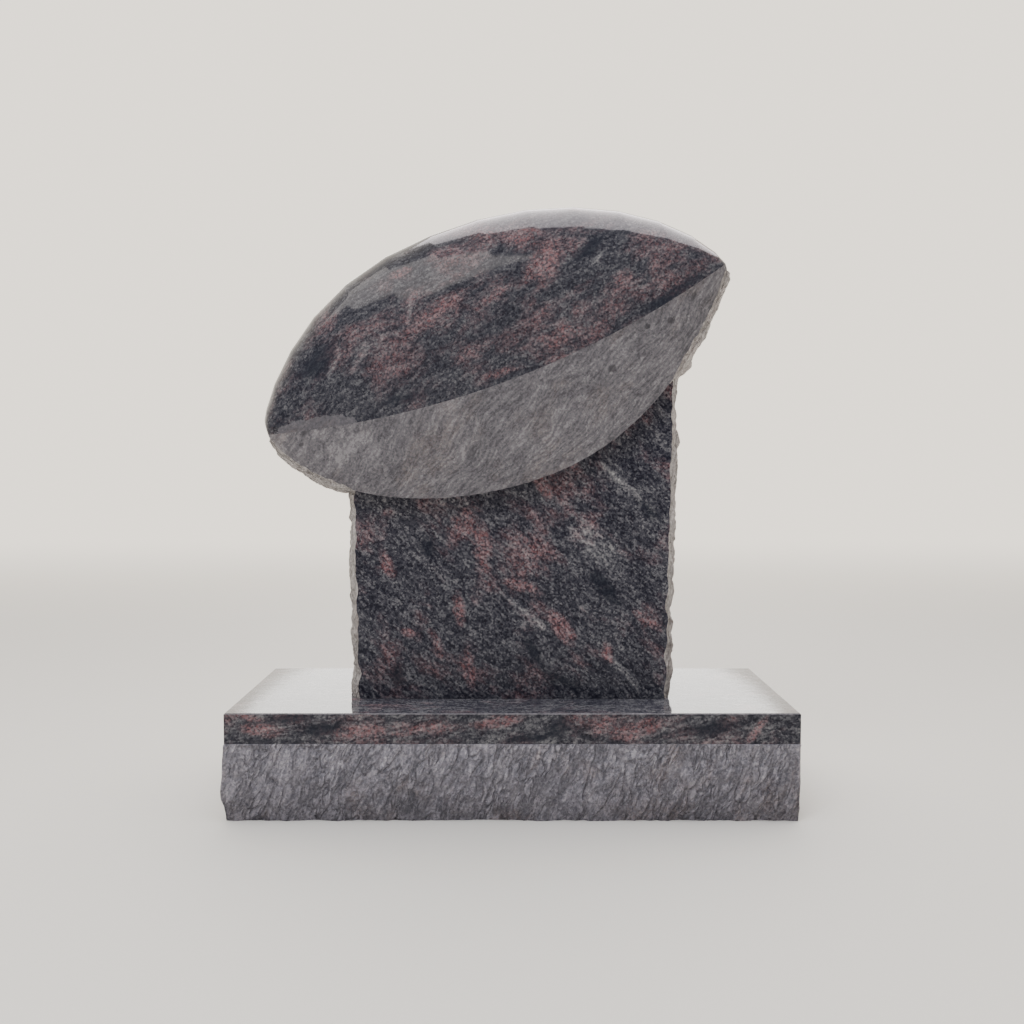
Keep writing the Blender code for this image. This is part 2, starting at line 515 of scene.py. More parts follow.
WET = Palette(
    grey=((0.00, (0.003, 0.003, 0.005)), (0.30, (0.008, 0.008, 0.013)), (0.48, (0.028, 0.028, 0.035)),
          (0.64, (0.073, 0.072, 0.078)), (0.82, (0.151, 0.148, 0.149)), (1.00, (0.290, 0.284, 0.278))),
    red=((0.00, (0.014, 0.008, 0.010)), (0.30, (0.052, 0.030, 0.033)), (0.50, (0.130, 0.080, 0.085)),
         (0.72, (0.222, 0.150, 0.154)), (1.00, (0.360, 0.275, 0.276))),
)
DRY = Palette(
    grey=((0.00, (0.080, 0.080, 0.096)), (0.30, (0.135, 0.132, 0.154)), (0.52, (0.215, 0.205, 0.234)),
          (0.78, (0.320, 0.304, 0.338)), (1.00, (0.480, 0.464, 0.490))),
    red=((0.00, (0.105, 0.085, 0.087)), (0.30, (0.170, 0.138, 0.138)), (0.52, (0.260, 0.212, 0.208)),
         (0.78, (0.375, 0.315, 0.305)), (1.00, (0.520, 0.460, 0.440))),
)
# Paler, beige colours of the slab's rock-pitched edges: partly the broken stone's own colour and partly
# painted light, the warm light of the bright backdrop behind them.
PALE_AND_RIM_LIT = Palette(
    grey=((0.00, (0.165, 0.153, 0.148)), (0.30, (0.262, 0.244, 0.236)), (0.52, (0.378, 0.354, 0.346)),
          (0.78, (0.510, 0.480, 0.470)), (1.00, (0.660, 0.630, 0.610))),
    red=((0.00, (0.185, 0.145, 0.138)), (0.30, (0.290, 0.238, 0.226)), (0.52, (0.415, 0.352, 0.338)),
         (0.78, (0.545, 0.480, 0.460)), (1.00, (0.670, 0.610, 0.585))),
)
RUBBED = DRY.lit(0.54)


@dataclass(frozen=True)
class Granite:
    """The headstone's granite in one finish.

    Attributes:
        name: Name of the material.
        finish: How the face is worked.
        lie: Angle in degrees of the streaks from the level, up to the right.
        grain: Size of the mineral grains.
        shift: Offset in the block that the face was cut from.
        streak: How much the streaks show beside the grains.
        level: How pale the face is beside the usual colour of its finish.
        contrast: How far the palest and the darkest grains stand apart.
        gloss: Index of refraction, which sets how strongly the face mirrors.
        broken: Colours of a broken face.
        crease_shade: How much painted shade darkens a broken face in its creases.
        foot_shade: Height from the ground up to which painted shade darkens a broken face, which painted
            light makes paler above it, or 0.
        redness: How much red feldspar the whole face has.
        red: Clouds of red feldspar.
        dark: Clouds of dark blue-grey mineral.
        pale: Veins and clouds of pale mineral.
        worn: Spots on a polished face that were left honed.
    """

    name: str
    finish: Finish
    lie: float
    grain: float = 0.0028
    shift: Point = (0.0, 0.0, 0.0)
    streak: float = 1.0
    level: float = 1.0
    contrast: float = 1.0
    gloss: float = 1.42
    broken: Palette = DRY
    crease_shade: float = 0.34
    foot_shade: float = 0.0
    redness: float = 0.0
    red: tuple[Patch, ...] = ()
    dark: tuple[Patch, ...] = ()
    pale: tuple[Patch, ...] = ()
    worn: tuple[Patch, ...] = ()

    def soft(self, graph: Graph, patches: Sequence[Patch]) -> Socket | float:
        """The strongest of some patches at each point.

        Args:
            graph: The material's nodes.
            patches: The patches.

        Returns:
            Their strength, 0 outside them all.
        """
        total: Socket | float = 0.0
        for patch in patches:
            total = graph.math("MAXIMUM", total, patch.shown(graph))
        return total

    def clouds(self, graph: Graph, patches: Sequence[Patch], ragged: Socket) -> Socket | float:
        """Strength of a mineral's clouds, broken up by the ragged noise.

        Args:
            graph: The material's nodes.
            patches: The clouds.
            ragged: The noise.

        Returns:
            The strength from 0 to 1.
        """
        if not patches:
            return 0.0
        total = self.soft(graph, patches)
        broken = graph.math("ADD", total, graph.apart(ragged, 0.5, 1.6))
        held = graph.math("MULTIPLY", broken, graph.span(total, 0.0, 0.15))
        return graph.span(held, 0.10, 0.65)

    def pattern(self, graph: Graph) -> tuple[Socket, Socket, Socket, Socket]:
        """The stone's grains, streaks and clouds.

        Args:
            graph: The material's nodes.

        Returns:
            How pale each grain is, how red, a random value for each grain, and the dark clouds.
        """
        turn = (0.0, math.radians(self.lie), 0.0)
        here = graph.place(turn, (1.0, 1.0, 1.0), self.shift)
        swirl = graph.warp(graph.warp(here, 0.17, 0.070), 0.045, 0.016)
        streaked = graph.stretch(swirl, (0.34, 0.8, 1.0))
        bands = graph.span(graph.noise(streaked, 0.019, detail=4.0, rough=0.60), 0.34, 0.68)
        thin = graph.stretch(swirl, (0.17, 0.8, 1.0))
        lines = graph.span(graph.noise(thin, 0.0040, detail=2.5, rough=0.60), 0.34, 0.68)
        grains = graph.cells(graph.warp(here, 0.004, 0.0016), self.grain)
        crumbs = graph.cells(graph.warp(here, 0.002, 0.0008), self.grain * 0.58)
        ragged = graph.noise(streaked, 0.020, detail=5.0, rough=0.65)
        tone: Socket | float = 0.02
        for layer, weight in ((grains, 0.36), (crumbs, 0.18), (lines, 0.26 * self.streak),
                              (bands, 0.18 * self.streak), (self.clouds(graph, self.pale, ragged), 0.26)):
            tone = graph.math("ADD", tone, graph.math("MULTIPLY", layer, weight))
        tone = graph.math("ADD", graph.apart(tone, MIDDLE_TONE, self.contrast), MIDDLE_TONE)
        broad = graph.noise(swirl, 0.075, detail=2.0)
        wash = graph.math("ADD", graph.math("MULTIPLY", broad, 0.7), graph.math("MULTIPLY", ragged, 0.6))
        veins = graph.span(wash, 0.66 - self.redness, 0.84 - self.redness)
        speck = graph.cells(here, self.grain * 0.9)
        share = graph.math("ADD", graph.math("MULTIPLY", graph.span(speck, 0.2, 0.8), 0.70), 0.18)
        clouds = self.clouds(graph, self.red, ragged)
        reds = graph.math("MAXIMUM", graph.math("MULTIPLY", veins, 0.6), clouds)
        blush = graph.math("MULTIPLY", reds, share, clamp=True)
        gloom = graph.math("MULTIPLY", self.clouds(graph, self.dark, ragged), 0.70)
        return tone, blush, speck, gloom

    def tinted(self, graph: Graph, palette: Palette, tone: Socket, blush: Socket) -> Socket:
        """The colours of a palette laid over the stone's grains."""
        chosen = palette.lit(self.level)
        return graph.mix(blush, graph.ramp(tone, chosen.grey), graph.ramp(tone, chosen.red))

    def polished(self, graph: Graph, grit: Socket, cloud: Socket) -> Surface:
        """Surface of a polished face with its worn spots.

        Args:
            graph: The material's nodes.
            grit, cloud: Fine and broad noise.

        Returns:
            Colour, roughness, height and the height's depth in metres.
        """
        tone, blush, speck, gloom = self.pattern(graph)
        base = self.tinted(graph, WET, tone, blush)
        garnet = graph.math("MULTIPLY", graph.span(blush, 0.25, 0.8), graph.span(speck, 0.80, 0.86))
        base = graph.mix(graph.math("MULTIPLY", garnet, 0.32), base, GARNET)
        base = graph.mix(gloom, base, POLISHED_GLOOM)
        rough = graph.span(grit, 0.2, 0.9, 0.05, 0.11)
        if self.worn:
            edge = graph.math("ADD", self.soft(graph, self.worn), graph.apart(cloud, 0.5, 0.9))
            share = graph.math("MULTIPLY", graph.span(edge, 0.20, 0.27),
                               graph.span(graph.along("Y"), -0.060, -0.040, 1.0, 0.0))
            base = graph.mix(graph.math("MULTIPLY", share, 0.90), base,
                             self.tinted(graph, RUBBED.lit(1.0 / self.level), tone, blush))
            rough = graph.math("ADD", rough, graph.math("MULTIPLY", share, 0.40))
        return base, rough, graph.math("MULTIPLY", cloud, 0.05), 0.002

    def honed(self, graph: Graph, grit: Socket, cloud: Socket) -> Surface:
        """Surface of a honed face.

        Args:
            graph: The material's nodes.
            grit, cloud: Fine and broad noise.

        Returns:
            Colour, roughness, height and the height's depth in metres.
        """
        tone, blush, _, gloom = self.pattern(graph)
        base = graph.mix(gloom, self.tinted(graph, RUBBED, tone, blush), HONED_GLOOM)
        return base, graph.span(cloud, 0.2, 0.8, 0.42, 0.56), grit, 0.0005

    def pitched(self, graph: Graph, grit: Socket, cloud: Socket) -> Surface:
        """Surface of a broken face, with painted shade in its creases and, on the band, painted shade near
        the ground under painted light.

        Args:
            graph: The material's nodes.
            grit, cloud: Fine and broad noise.

        Returns:
            Colour, roughness, height and the height's depth in metres.
        """
        tone, blush, _, gloom = self.pattern(graph)
        tall = graph.place((0.0, math.radians(self.lie), 0.0), (0.38, 1.0, 1.0))
        tall = graph.warp(graph.warp(tall, 0.030, 0.014), 0.009, 0.004)
        creases = []
        for size, width in ((0.0085, 0.105), (0.026, 0.060)):
            ridge = graph.math("SUBTRACT", graph.noise(tall, size, detail=1.5), 0.5)
            creases.append(graph.span(graph.math("ABSOLUTE", ridge), 0.0, width))
        fine, long = creases
        calm = graph.span(graph.noise(tall, 0.040, detail=1.0), 0.42, 0.62, 0.35, 1.0)
        depth = graph.math("MULTIPLY", graph.math("SUBTRACT", 1.0, fine), calm)
        depth = graph.math("MAXIMUM", depth, graph.math("SUBTRACT", 1.0, long))
        # Painted shade in the creases of the broken face, darkest where they are deepest.
        deep = 1.0 - self.crease_shade
        shade = graph.ramp(depth, ((0.0, WHITE), (1.0, (deep, deep, deep))))
        base = graph.mix(1.0, self.tinted(graph, self.broken, tone, blush), shade, blend="MULTIPLY")
        # Painted shade towards the ground and painted light higher up on the band.
        if self.foot_shade:
            foot_lift = graph.span(graph.along("Z"), 0.0, self.foot_shade)
            base = graph.mix(1.0, base, graph.ramp(foot_lift, ((0.0, FOOT_SHADE), (1.0, BAND_TOP_LIGHT))), blend="MULTIPLY")
        base = graph.mix(gloom, base, BROKEN_GLOOM)
        relief = graph.math("SUBTRACT", graph.math("MULTIPLY", grit, 0.40), depth)
        return base, graph.span(cloud, 0.2, 0.8, 0.66, 0.82), relief, 0.0058

    def material(self) -> bpy.types.Material:
        """Build the material for this finish.

        Returns:
            The material.
        """
        material = bpy.data.materials.new(self.name)
        material.use_nodes = True
        graph = Graph(material.node_tree)
        grit = graph.noise(graph.here(), 0.0016, detail=3.0, rough=0.6)
        cloud = graph.noise(graph.here(), 0.022, detail=5.0, rough=0.6)
        work = {Finish.POLISHED: self.polished, Finish.HONED: self.honed, Finish.PITCHED: self.pitched}
        shader = graph.wire(*work[self.finish](graph, grit, cloud), strength=0.8)
        shader.inputs["IOR"].default_value = self.gloss
        return material


@dataclass(frozen=True)
class Slab:
    """The slab that ball and tablet are carved from, and where the base stone carries it."""

    front: float = -0.066
    back: float = 0.066
    base_top: float = 0.144
    bedding: float = 0.0003
    width_foot: float = 0.431
    width_head: float = 0.446
    width_height: float = 0.443
    edge_squareness: float = 4.0
    arris_band: float = 0.06

    def edge_shape(self, share: float) -> float:
        """How far a rock-pitched edge stands out, from 0 at an arris to 1 between them."""
        return 1.0 - abs(2.0 * share - 1.0) ** self.edge_squareness

    def off_arris(self, share: float) -> float:
        """Share of the chisel's marks across an edge, 0 at an arris and 1 away from it."""
        return smoothstep(0.0, self.arris_band, min(share, 1.0 - share))

    def half_width(self, height: float) -> float:
        """Half the tablet's width at a height over its foot."""
        widening = min(1.0, height / self.width_height)
        return (self.width_foot + widening * (self.width_head - self.width_foot)) / 2


@dataclass
class Ball:
    """The rugby ball, in its own plane: its length runs along u and its height along v."""

    slab: Slab
    chisel: Chisel
    reach: float = 0.3312
    rise: float = 0.1725
    drop: float = 0.1952
    tilt: float = math.radians(19.2)
    centre_x: float = -0.0256
    centre_height: float = 0.4934
    facets: int = 15
    stations_per_facet: int = 26
    rim_proud: float = 0.022
    seam_proud: float = 0.045
    crown_setback: float = 0.021
    crown_fall: float = 0.018
    lower_bow: float = 0.003
    upper_squareness: float = 2.1
    seam_drop: float = 0.0585
    seam_drop_left: float = 0.0175
    seam_drop_right: float = 0.0041
    seam_clearance: float = 0.0020
    edge_bulge: float = 0.011
    edge_fade: float = 0.020
    slope_step: float = 0.004
    lower_steps: int = 8
    upper_steps: int = 18
    crown_steps: int = 8
    edge_steps: int = 62
    rim_width: float = 0.0045
    rim_chip: float = 0.0060
    rim_chip_length: float = 0.016
    rim_grit: float = 0.010
    rim_least: float = 0.0006
    quarters: dict[str, Quarter] = field(init=False)

    def __post_init__(self) -> None:
        """Work out the four quarters of the outline."""
        self.quarters = {
            "top left": Quarter(self.rise, self.reach + 0.0030, 2.431, 1.246),
            "top right": Quarter(self.rise, self.reach + 0.0001, 2.033, 1.518),
            "bottom left": Quarter(self.drop, self.reach + 0.0030, 1.945, 1.874),
            "bottom right": Quarter(self.drop, self.reach + 0.0077, 2.103, 1.118),
        }

    def top(self, u: float) -> float:
        """Height of the upper edge over the axis, in flat chords as it was sawn.

        Args:
            u: Distance along the axis from the ball's middle.

        Returns:
            The height.
        """
        turn = math.acos(max(-1.0, min(1.0, -u / self.reach))) * self.facets / math.pi
        facet = min(int(turn), self.facets - 1)
        start, end = (-self.reach * math.cos(math.pi * (facet + step) / self.facets)
                      for step in (0, 1))
        low, high = (self.quarters["top left" if u_corner < 0 else "top right"].at(u_corner)
                     for u_corner in (start, end))
        return low + (u - start) / (end - start) * (high - low)

    def bottom(self, u: float) -> float:
        """Depth of the lower edge under the axis."""
        return self.quarters["bottom left" if u < 0 else "bottom right"].at(u)

    def way_out(self, u: float) -> tuple[float, float]:
        """Direction square to the lower edge, out of the stone.

        Args:
            u: Distance along the axis from the ball's middle.

        Returns:
            Its parts along u and v.
        """
        near = max(-self.reach, u - self.slope_step)
        far = min(self.reach, u + self.slope_step)
        slope = (self.bottom(near) - self.bottom(far)) / (far - near)
        length = math.hypot(slope, 1.0)
        return slope / length, -1.0 / length

    def seam(self, u: float) -> float:
        """Height of the seam between the two panels, which sags under the axis.

        Args:
            u: Distance along the axis from the ball's middle.

        Returns:
            The height, below 0.
        """
        share = u / self.reach
        tips = (self.seam_drop_left + self.seam_drop_right) / 2
        skew = (self.seam_drop_left - self.seam_drop_right) / 2
        return -tips - (self.seam_drop - tips) * (1.0 - share * share) + skew * share

    def place(self, u: float, y: float, v: float) -> Point:
        """A point of the ball's plane in the headstone's frame.

        Args:
            u, v: Distances along and over the ball's axis.
            y: Distance behind the middle of the slab.

        Returns:
            The point.
        """
        x = self.centre_x + u * math.cos(self.tilt) - v * math.sin(self.tilt)
        rise = u * math.sin(self.tilt) + v * math.cos(self.tilt)
        return x, y, self.slab.base_top + self.centre_height + rise

    def beside_tablet(self, x: float) -> float:
        """1 where the ball stands out past the tablet's sides, 0 where the tablet carries it."""
        rise = (abs(x) - self.slab.width_head / 2) / self.edge_fade + 0.5
        return max(0.0, min(1.0, rise))

    def rim(self, u: float, bottom: float) -> float:
        """How wide the front rim is chipped away: hardly in front of the tablet, well beside it.

        Args:
            u: Distance along the axis from the ball's middle.
            bottom: Height of the lower edge there.

        Returns:
            The width.
        """
        spot = Vector(self.place(u, 0.0, bottom))
        rough = abs(noise.noise(spot / self.rim_chip_length)) + 0.3 * noise.noise(spot / self.rim_grit)
        wide = self.rim_width + self.rim_chip * rough
        return max(self.rim_least, wide * self.beside_tablet(spot.x))

    def underside(self, u: float, bottom: float, rim_y: float) -> list[Point]:
        """Points of the rock-pitched underside at one station.

        Args:
            u: Distance along the axis from the ball's middle.
            bottom: Height of the lower edge there.
            rim_y: Place of the front rim.

        Returns:
            The points from the back to the front.
        """
        out_u, out_v = self.way_out(u)
        points = [self.place(u, self.slab.back, bottom)]
        for k in range(1, self.edge_steps):
            share = k / self.edge_steps
            y = self.slab.back + share * (rim_y - self.slab.back)
            spot = self.place(u, y, bottom)
            worked = self.slab.off_arris(share)
            rough = self.edge_bulge * self.slab.edge_shape(share)
            rough += self.chisel.relief * self.chisel.lumps(*spot) * worked
            out = rough * self.beside_tablet(spot[0])
            out += self.chisel.chips(*spot) * worked * (0.3 + 0.4 * self.beside_tablet(spot[0]))
            points.append(self.place(u + out * out_u, y, bottom + out * out_v))
        return points

    def section(self, u: float) -> list[Point]:
        """Points round the ball at one station.

        Args:
            u: Distance along the axis from the ball's middle.

        Returns:
            The points, starting at the front of the lower edge.
        """
        top = self.top(u)
        bottom = -self.bottom(u)
        full = math.sqrt(max(0.0, 1.0 - (u / self.reach) ** 2))
        rim_y = self.slab.front - self.rim_proud
        seam_y = rim_y - self.seam_proud * full
        seam_v = min(max(self.seam(u), bottom + self.seam_clearance), top - self.seam_clearance)
        crown_y = self.slab.front + self.crown_setback
        crown_y += (rim_y - crown_y) * 0.5 * (1.0 - full)
        points = []
        chipped = self.rim(u, bottom)
        first = min(0.4, chipped / (seam_v - bottom))
        shares = [0.0] + [first + (1.0 - first) * k / (self.lower_steps - 1)
                          for k in range(self.lower_steps - 1)]
        for share in shares:
            bow = self.lower_bow * full * math.sin(math.pi * share)
            y = rim_y + share * (seam_y - rim_y) - bow
            if share == 0.0:
                y += 0.45 * chipped * self.beside_tablet(self.place(u, y, bottom)[0])
            points.append(self.place(u, y, bottom + share * (seam_v - bottom)))
        for k in range(self.upper_steps):
            turn = math.pi / 2 * k / self.upper_steps
            back = math.cos(turn) ** (2.0 / self.upper_squareness)
            up = math.sin(turn) ** (2.0 / self.upper_squareness)
            y = crown_y + (seam_y - crown_y) * back
            points.append(self.place(u, y, seam_v + (top - seam_v) * up))
        for k in range(self.crown_steps + 1):
            share = k / self.crown_steps
            fall = self.crown_fall * full * share * share
            points.append(self.place(u, crown_y + share * (self.slab.back - crown_y), top - fall))
        return points + self.underside(u, bottom, rim_y)

    def build(self) -> bpy.types.Object:
        """The ball alone, closed by blunt tips.

        Returns:
            The ball as an object.
        """
        count = self.facets * self.stations_per_facet
        rings = [self.section(-self.reach * math.cos(math.pi * i / count)) for i in range(count + 1)]
        columns = [SlabFace.BALL_HONED] * self.lower_steps
        columns += [SlabFace.BALL_POLISHED] * (self.upper_steps + self.crown_steps)
        columns += [SlabFace.BACK]
        columns += [SlabFace.EDGE] * self.edge_steps
        item = Loft("headstone_ball", rings, columns, (SlabFace.BALL_POLISHED, SlabFace.EDGE)).build()
        for row in range(count):
            if self.beside_tablet(rings[row][0][0]) > 0.3:
                item.data.polygons[row * len(columns)].material_index = SlabFace.EDGE
        return item


@dataclass
class Tablet:
    """The tablet under the ball, with flat faces and rock-pitched sides."""

    slab: Slab
    chisel: Chisel
    ball: Ball
    edge_bulge: float = 0.011
    chip: float = 0.0035
    chip_length: float = 0.024
    nibble: float = 0.0014
    nibble_length: float = 0.007
    row_step: float = 0.0023
    edge_steps: int = 56

    def arris(self, x: float, z: float, share: float) -> float:
        """How far the chisel has bitten into an arris.

        Args:
            x, z: The point on the arris.
            share: 0 for the front arris, 1 for the back one.

        Returns:
            The bite.
        """
        bite = noise.noise(Vector((x, share, z)) / self.chip_length)
        small = abs(noise.noise(Vector((x, share, z)) / self.nibble_length))
        return self.chip * max(0.0, 0.35 + 1.5 * bite) + self.nibble * small

    def side(self, side: int, z: float, half: float) -> list[Point]:
        """Points across one side at one height.

        Args:
            side: 1 for the right side, -1 for the left one.
            z: The height.
            half: Half the tablet's width there.

        Returns:
            The points from the front arris to the back one.
        """
        points = []
        x = side * half
        for k in range(self.edge_steps + 1):
            share = k / self.edge_steps
            y = self.slab.front + share * (self.slab.back - self.slab.front)
            worked = self.slab.off_arris(share)
            out = self.edge_bulge * self.slab.edge_shape(share)
            out += (self.chisel.relief * self.chisel.lumps(x, y, z) + self.chisel.chips(x, y, z)) * worked
            out -= self.arris(x, z, round(share)) * (1.0 - worked)
            points.append((x + side * out, y, z))
        return points

    def build(self) -> bpy.types.Object:
        """The tablet alone, as level rings that end slantwise inside the ball.

        Returns:
            The tablet as an object.
        """
        foot = self.slab.base_top + self.slab.bedding
        centre_x, _, centre_z = self.ball.place(0.0, 0.0, 0.0)
        rows = round(self.ball.centre_height / self.row_step)
        rings = []
        for row in range(rows + 1):
            ring: list[Point] = []
            for side in (1, -1):
                along = side * self.slab.width_head / 2 - centre_x
                end = centre_z + along * math.tan(self.ball.tilt)
                z = foot + row / rows * (end - foot)
                points = self.side(side, z, self.slab.half_width(z - foot))
                ring.extend(points if side > 0 else points[::-1])
            rings.append(ring)
        columns = [SlabFace.EDGE] * self.edge_steps + [SlabFace.BACK]
        columns += [SlabFace.EDGE] * self.edge_steps + [SlabFace.TABLET_FRONT]
        return Loft("headstone_tablet", rings, columns, (SlabFace.EDGE, SlabFace.EDGE)).build()


class Stone:
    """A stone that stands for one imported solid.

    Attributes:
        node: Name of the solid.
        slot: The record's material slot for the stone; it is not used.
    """

    node: ClassVar[str]
    slot: ClassVar[str]

    def build(self) -> bpy.types.Object:
        """Make the stone."""
        raise NotImplementedError

    def finishes(self) -> list[Granite]:
        """One finish for each of its material slots."""
        raise NotImplementedError

    def dress(self, item: bpy.types.Object) -> None:
        """Give the stone its finishes and let it stand for its solid.

        Args:
            item: The stone.
        """
        finishes = self.finishes()
        for finish in finishes:
            item.data.materials.append(finish.material())
        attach(item, "root")
        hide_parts(self.node)
        LOG.info("%s: %d faces, %d finishes", item.name, len(item.data.polygons), len(finishes))


@dataclass
class Headstone(Stone):
    """Ball and tablet as one carved slab."""

    node: ClassVar[str] = "headstone"
    slot: ClassVar[str] = "polished_granite"
    slab: Slab = field(default_factory=Slab)
    chisel: Chisel = field(default_factory=Chisel)
    crisp: float = math.radians(38.0)

    def build(self) -> bpy.types.Object:
        """Carve the slab as one closed mesh.

        Returns:
            The slab as an object.
        """
        ball = Ball(self.slab, self.chisel)
        body = ball.build()
        other = Tablet(self.slab, self.chisel, ball).build()
        union = body.modifiers.new("one_slab", "BOOLEAN")
        union.operation = "UNION"
        union.solver = "EXACT"
        union.object = other
        graph = bpy.context.evaluated_depsgraph_get()
        mesh = bpy.data.meshes.new_from_object(body.evaluated_get(graph))
        mesh.name = "headstone_stone"
        for item in (body, other):
            bpy.data.objects.remove(item, do_unlink=True)
        stone = add_object("headstone_stone", mesh)
        merge_flat(stone, SlabFace.BACK)
        keep_inside(stone, self.node)
        soften(stone, self.crisp)
        return stone

    def finishes(self) -> list[Granite]:
        """Finishes of the slab's faces.

        Returns:
            The finishes in the order of SlabFace.
        """
        ball_red = (
            Patch(0.004, 0.772, 0.120, 0.034, 2.0, 0.65), Patch(0.042, 0.738, 0.056, 0.034, 70.0, 0.85),
            Patch(-0.111, 0.661, 0.080, 0.040, 30.0, 0.7), Patch(-0.088, 0.684, 0.040, 0.020, 60.0, 0.7),
            Patch(0.063, 0.640, 0.050, 0.026, 60.0, 0.75), Patch(0.200, 0.765, 0.050, 0.016, -12.0, 0.5),
            Patch(0.148, 0.714, 0.056, 0.024, 35.0, 0.5), Patch(-0.010, 0.594, 0.040, 0.009, 17.0, 0.8),
            Patch(-0.150, 0.730, 0.026, 0.010, 20.0, 0.8), Patch(-0.030, 0.690, 0.070, 0.024, 35.0, 0.5),
        )
        ball_dark = (
            Patch(0.100, 0.758, 0.045, 0.013, 45.0), Patch(-0.188, 0.745, 0.045, 0.018, 32.0),
            Patch(-0.010, 0.745, 0.045, 0.012, 30.0, 0.7), Patch(-0.262, 0.606, 0.055, 0.026, 50.0, 0.8),
            Patch(-0.150, 0.560, 0.050, 0.014, 16.0, 0.7), Patch(0.215, 0.700, 0.080, 0.010, 33.0),
        )
        ball_pale = (
            Patch(-0.238, 0.606, 0.048, 0.006, 70.0), Patch(-0.136, 0.678, 0.024, 0.005, 85.0),
            Patch(0.112, 0.745, 0.036, 0.004, 48.0, 0.9), Patch(-0.190, 0.630, 0.050, 0.022, 40.0, 0.6),
        )
        tablet_red = (
            Patch(-0.042, 0.357, 0.060, 0.022, 97.0, 0.85), Patch(-0.066, 0.386, 0.046, 0.028, 60.0, 0.7),
            Patch(0.008, 0.304, 0.046, 0.012, -15.0, 0.9),
            Patch(0.043, 0.441, 0.034, 0.014, -60.0), Patch(0.067, 0.247, 0.042, 0.017, -55.0),
            Patch(0.134, 0.210, 0.024, 0.013, -75.0), Patch(-0.061, 0.185, 0.042, 0.016, 100.0),
            Patch(-0.074, 0.272, 0.036, 0.012, 95.0, 0.9), Patch(-0.176, 0.338, 0.040, 0.014, 112.0, 0.9),
            Patch(0.194, 0.251, 0.040, 0.012, -35.0, 0.7), Patch(-0.146, 0.236, 0.014, 0.011, 0.0),
            Patch(0.040, 0.352, 0.060, 0.030, -40.0, 0.5), Patch(-0.105, 0.215, 0.040, 0.014, -70.0, 0.6),
        )
        tablet_dark = (
            Patch(0.128, 0.301, 0.042, 0.015, -50.0), Patch(0.070, 0.172, 0.052, 0.014, -25.0, 0.7),
            Patch(-0.118, 0.355, 0.030, 0.018, -60.0, 0.8), Patch(0.028, 0.214, 0.040, 0.010, -55.0, 0.8),
            Patch(-0.160, 0.180, 0.040, 0.014, 80.0, 0.7), Patch(0.190, 0.410, 0.050, 0.018, -50.0, 0.7),
        )
        tablet_pale = (
            Patch(0.161, 0.440, 0.080, 0.010, -41.0), Patch(0.115, 0.360, 0.070, 0.030, -35.0, 0.6),
            Patch(0.150, 0.190, 0.060, 0.009, -48.0, 0.8), Patch(0.020, 0.265, 0.060, 0.008, -40.0, 0.7),
        )
        pits = (
            Patch(0.241, 0.695, 0.012, 0.005, 60.0), Patch(0.180, 0.655, 0.008, 0.006, 0.0),
            Patch(0.211, 0.664, 0.008, 0.006, 0.0), Patch(0.133, 0.600, 0.008, 0.007, 0.0),
            Patch(-0.280, 0.514, 0.010, 0.005, 50.0), Patch(-0.284, 0.499, 0.007, 0.004, 20.0),
        )
        flecks = (
            Patch(-0.060, 0.500, 0.050, 0.008, 70.0, 0.7), Patch(-0.090, 0.508, 0.050, 0.007, 66.0, 0.7),
            Patch(0.010, 0.505, 0.060, 0.010, 60.0, 0.7), Patch(-0.220, 0.490, 0.060, 0.020, 30.0, 0.6),
        )
        left_end = (Patch(-0.268, 0.521, 0.076, 0.0165, 10.5),)
        return [
            Granite("ball_polished_granite", Finish.POLISHED, 34.0, grain=0.0026, streak=0.8,
                    level=1.68, contrast=0.62, redness=0.045, red=ball_red, dark=ball_dark,
                    pale=ball_pale, worn=left_end),
            Granite("ball_honed_granite", Finish.HONED, 52.0, grain=0.0024, streak=1.5, redness=0.03,
                    dark=pits, pale=flecks),
            Granite("tablet_polished_granite", Finish.POLISHED, -40.0, shift=(0.7, 0.2, 0.4), streak=0.7,
                    level=2.10, contrast=0.76, gloss=1.15, redness=0.02, red=tablet_red,
                    dark=tablet_dark, pale=tablet_pale),
            # The edges take the paler palette, which includes painted rim light.
            Granite("edge_pitched_granite", Finish.PITCHED, 80.0, shift=(0.1, 0.5, 0.9), broken=PALE_AND_RIM_LIT,
                    crease_shade=0.20, level=1.2, redness=0.03),
            Granite("back_polished_granite", Finish.POLISHED, 25.0, shift=(0.9, 0.4, 0.3), redness=0.06),
        ]


